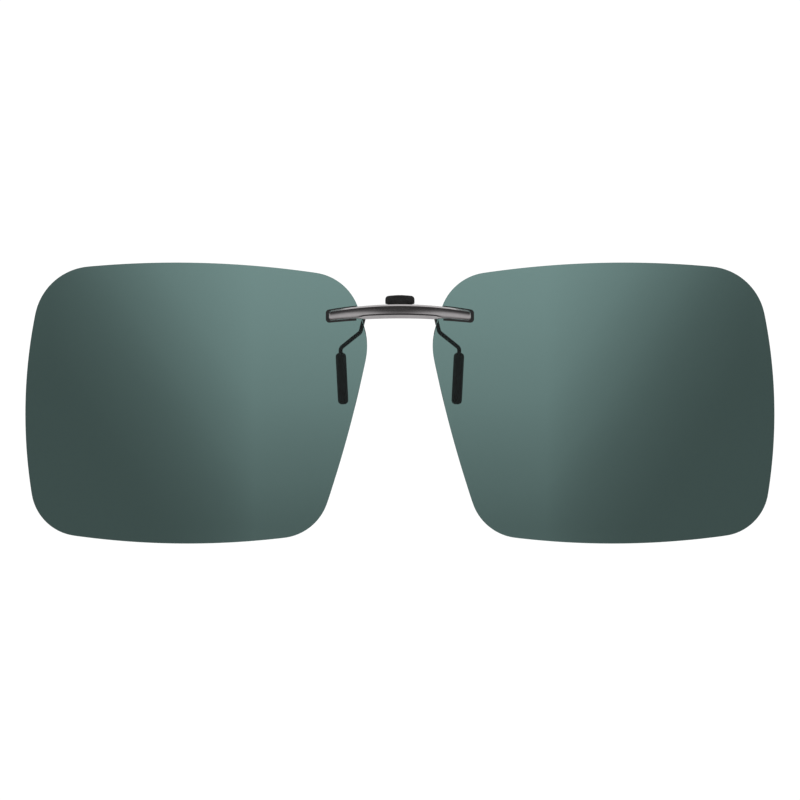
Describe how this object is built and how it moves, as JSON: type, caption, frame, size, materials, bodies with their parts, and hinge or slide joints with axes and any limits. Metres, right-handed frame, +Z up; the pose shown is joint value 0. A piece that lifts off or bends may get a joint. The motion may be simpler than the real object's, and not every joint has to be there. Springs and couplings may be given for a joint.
{
  "type": "clip-on flip lenses",
  "caption": "Tinted clip-on lenses on an arched bar that flips up on a hinge in front of a sprung clip; finger tabs open its sleeved jaws to grip a spectacle bridge.",
  "frame": {"origin": "midway between the closed grip sleeves, at half their height, on the object's plane of symmetry", "axes": "+X to the right as seen from the front, along both hinge lines; -Y forwards, away from the wearer's face; +Z up"},
  "size_m": [0.1314, 0.0146, 0.0492],
  "materials": {
    "tinted_lens": "polished polarised plastic, grey-green tint",
    "gunmetal": "polished gunmetal plate",
    "blackened_steel": "satin black",
    "bright_steel": "satin",
    "spring_steel": "drawn spring steel",
    "black_wire": "black lacquered wire",
    "black_rubber": "fine matt rubber",
    "black_gasket": "matt",
    "black_plastic": "matt",
    "white_nylon": "matt nylon",
    "clear_nylon": "clear nylon",
    "nickel": "bright nickel"
  },
  "bodies": {
    "front_jaw": {"front_jaw_frame": "blackened_steel", "front_tab_cap": "black_rubber", "flip_pin": "bright_steel", "jaw_pin": "bright_steel", "detent_leaf": "spring_steel", "torsion_spring": "spring_steel", "spring_bush": "black_plastic", "friction_washer_left": "white_nylon", "friction_washer_right": "white_nylon", "front_prong_left": "black_wire", "front_prong_right": "black_wire", "front_sleeve_left": "black_rubber", "front_sleeve_right": "black_rubber"},
    "lens_carrier": {"bridge_bar": "gunmetal", "flip_barrel": "gunmetal", "lens_left": "tinted_lens", "lens_right": "tinted_lens", "gasket_left": "black_gasket", "gasket_right": "black_gasket", "lens_studs_left": "gunmetal", "lens_studs_right": "gunmetal", "lens_bushings_left": "clear_nylon", "lens_bushings_right": "clear_nylon", "lens_washers_left": "clear_nylon", "lens_washers_right": "clear_nylon", "lens_nuts_left": "nickel", "lens_nuts_right": "nickel"},
    "rear_jaw": {"rear_jaw_plate": "blackened_steel", "rear_tab_cap": "black_rubber", "rear_prong_left": "black_wire", "rear_prong_right": "black_wire", "rear_sleeve_left": "black_rubber", "rear_sleeve_right": "black_rubber"}
  },
  "joints": [
    {"name": "flip_hinge", "type": "hinge", "parent": "front_jaw", "child": "lens_carrier", "pos_m": [0, -0.0032, 0.0117], "axis": [-1, 0, 0], "range_deg": [0, 90], "deforming": ["detent_leaf"]},
    {"name": "jaw_pivot", "type": "hinge", "parent": "front_jaw", "child": "rear_jaw", "pos_m": [0, 0.0008, 0.0117], "axis": [1, 0, 0], "range_deg": [0, 18], "stiffness_Nm_per_rad": 0.012, "springref_deg": -28.65, "deforming": ["torsion_spring"]}
  ]
}
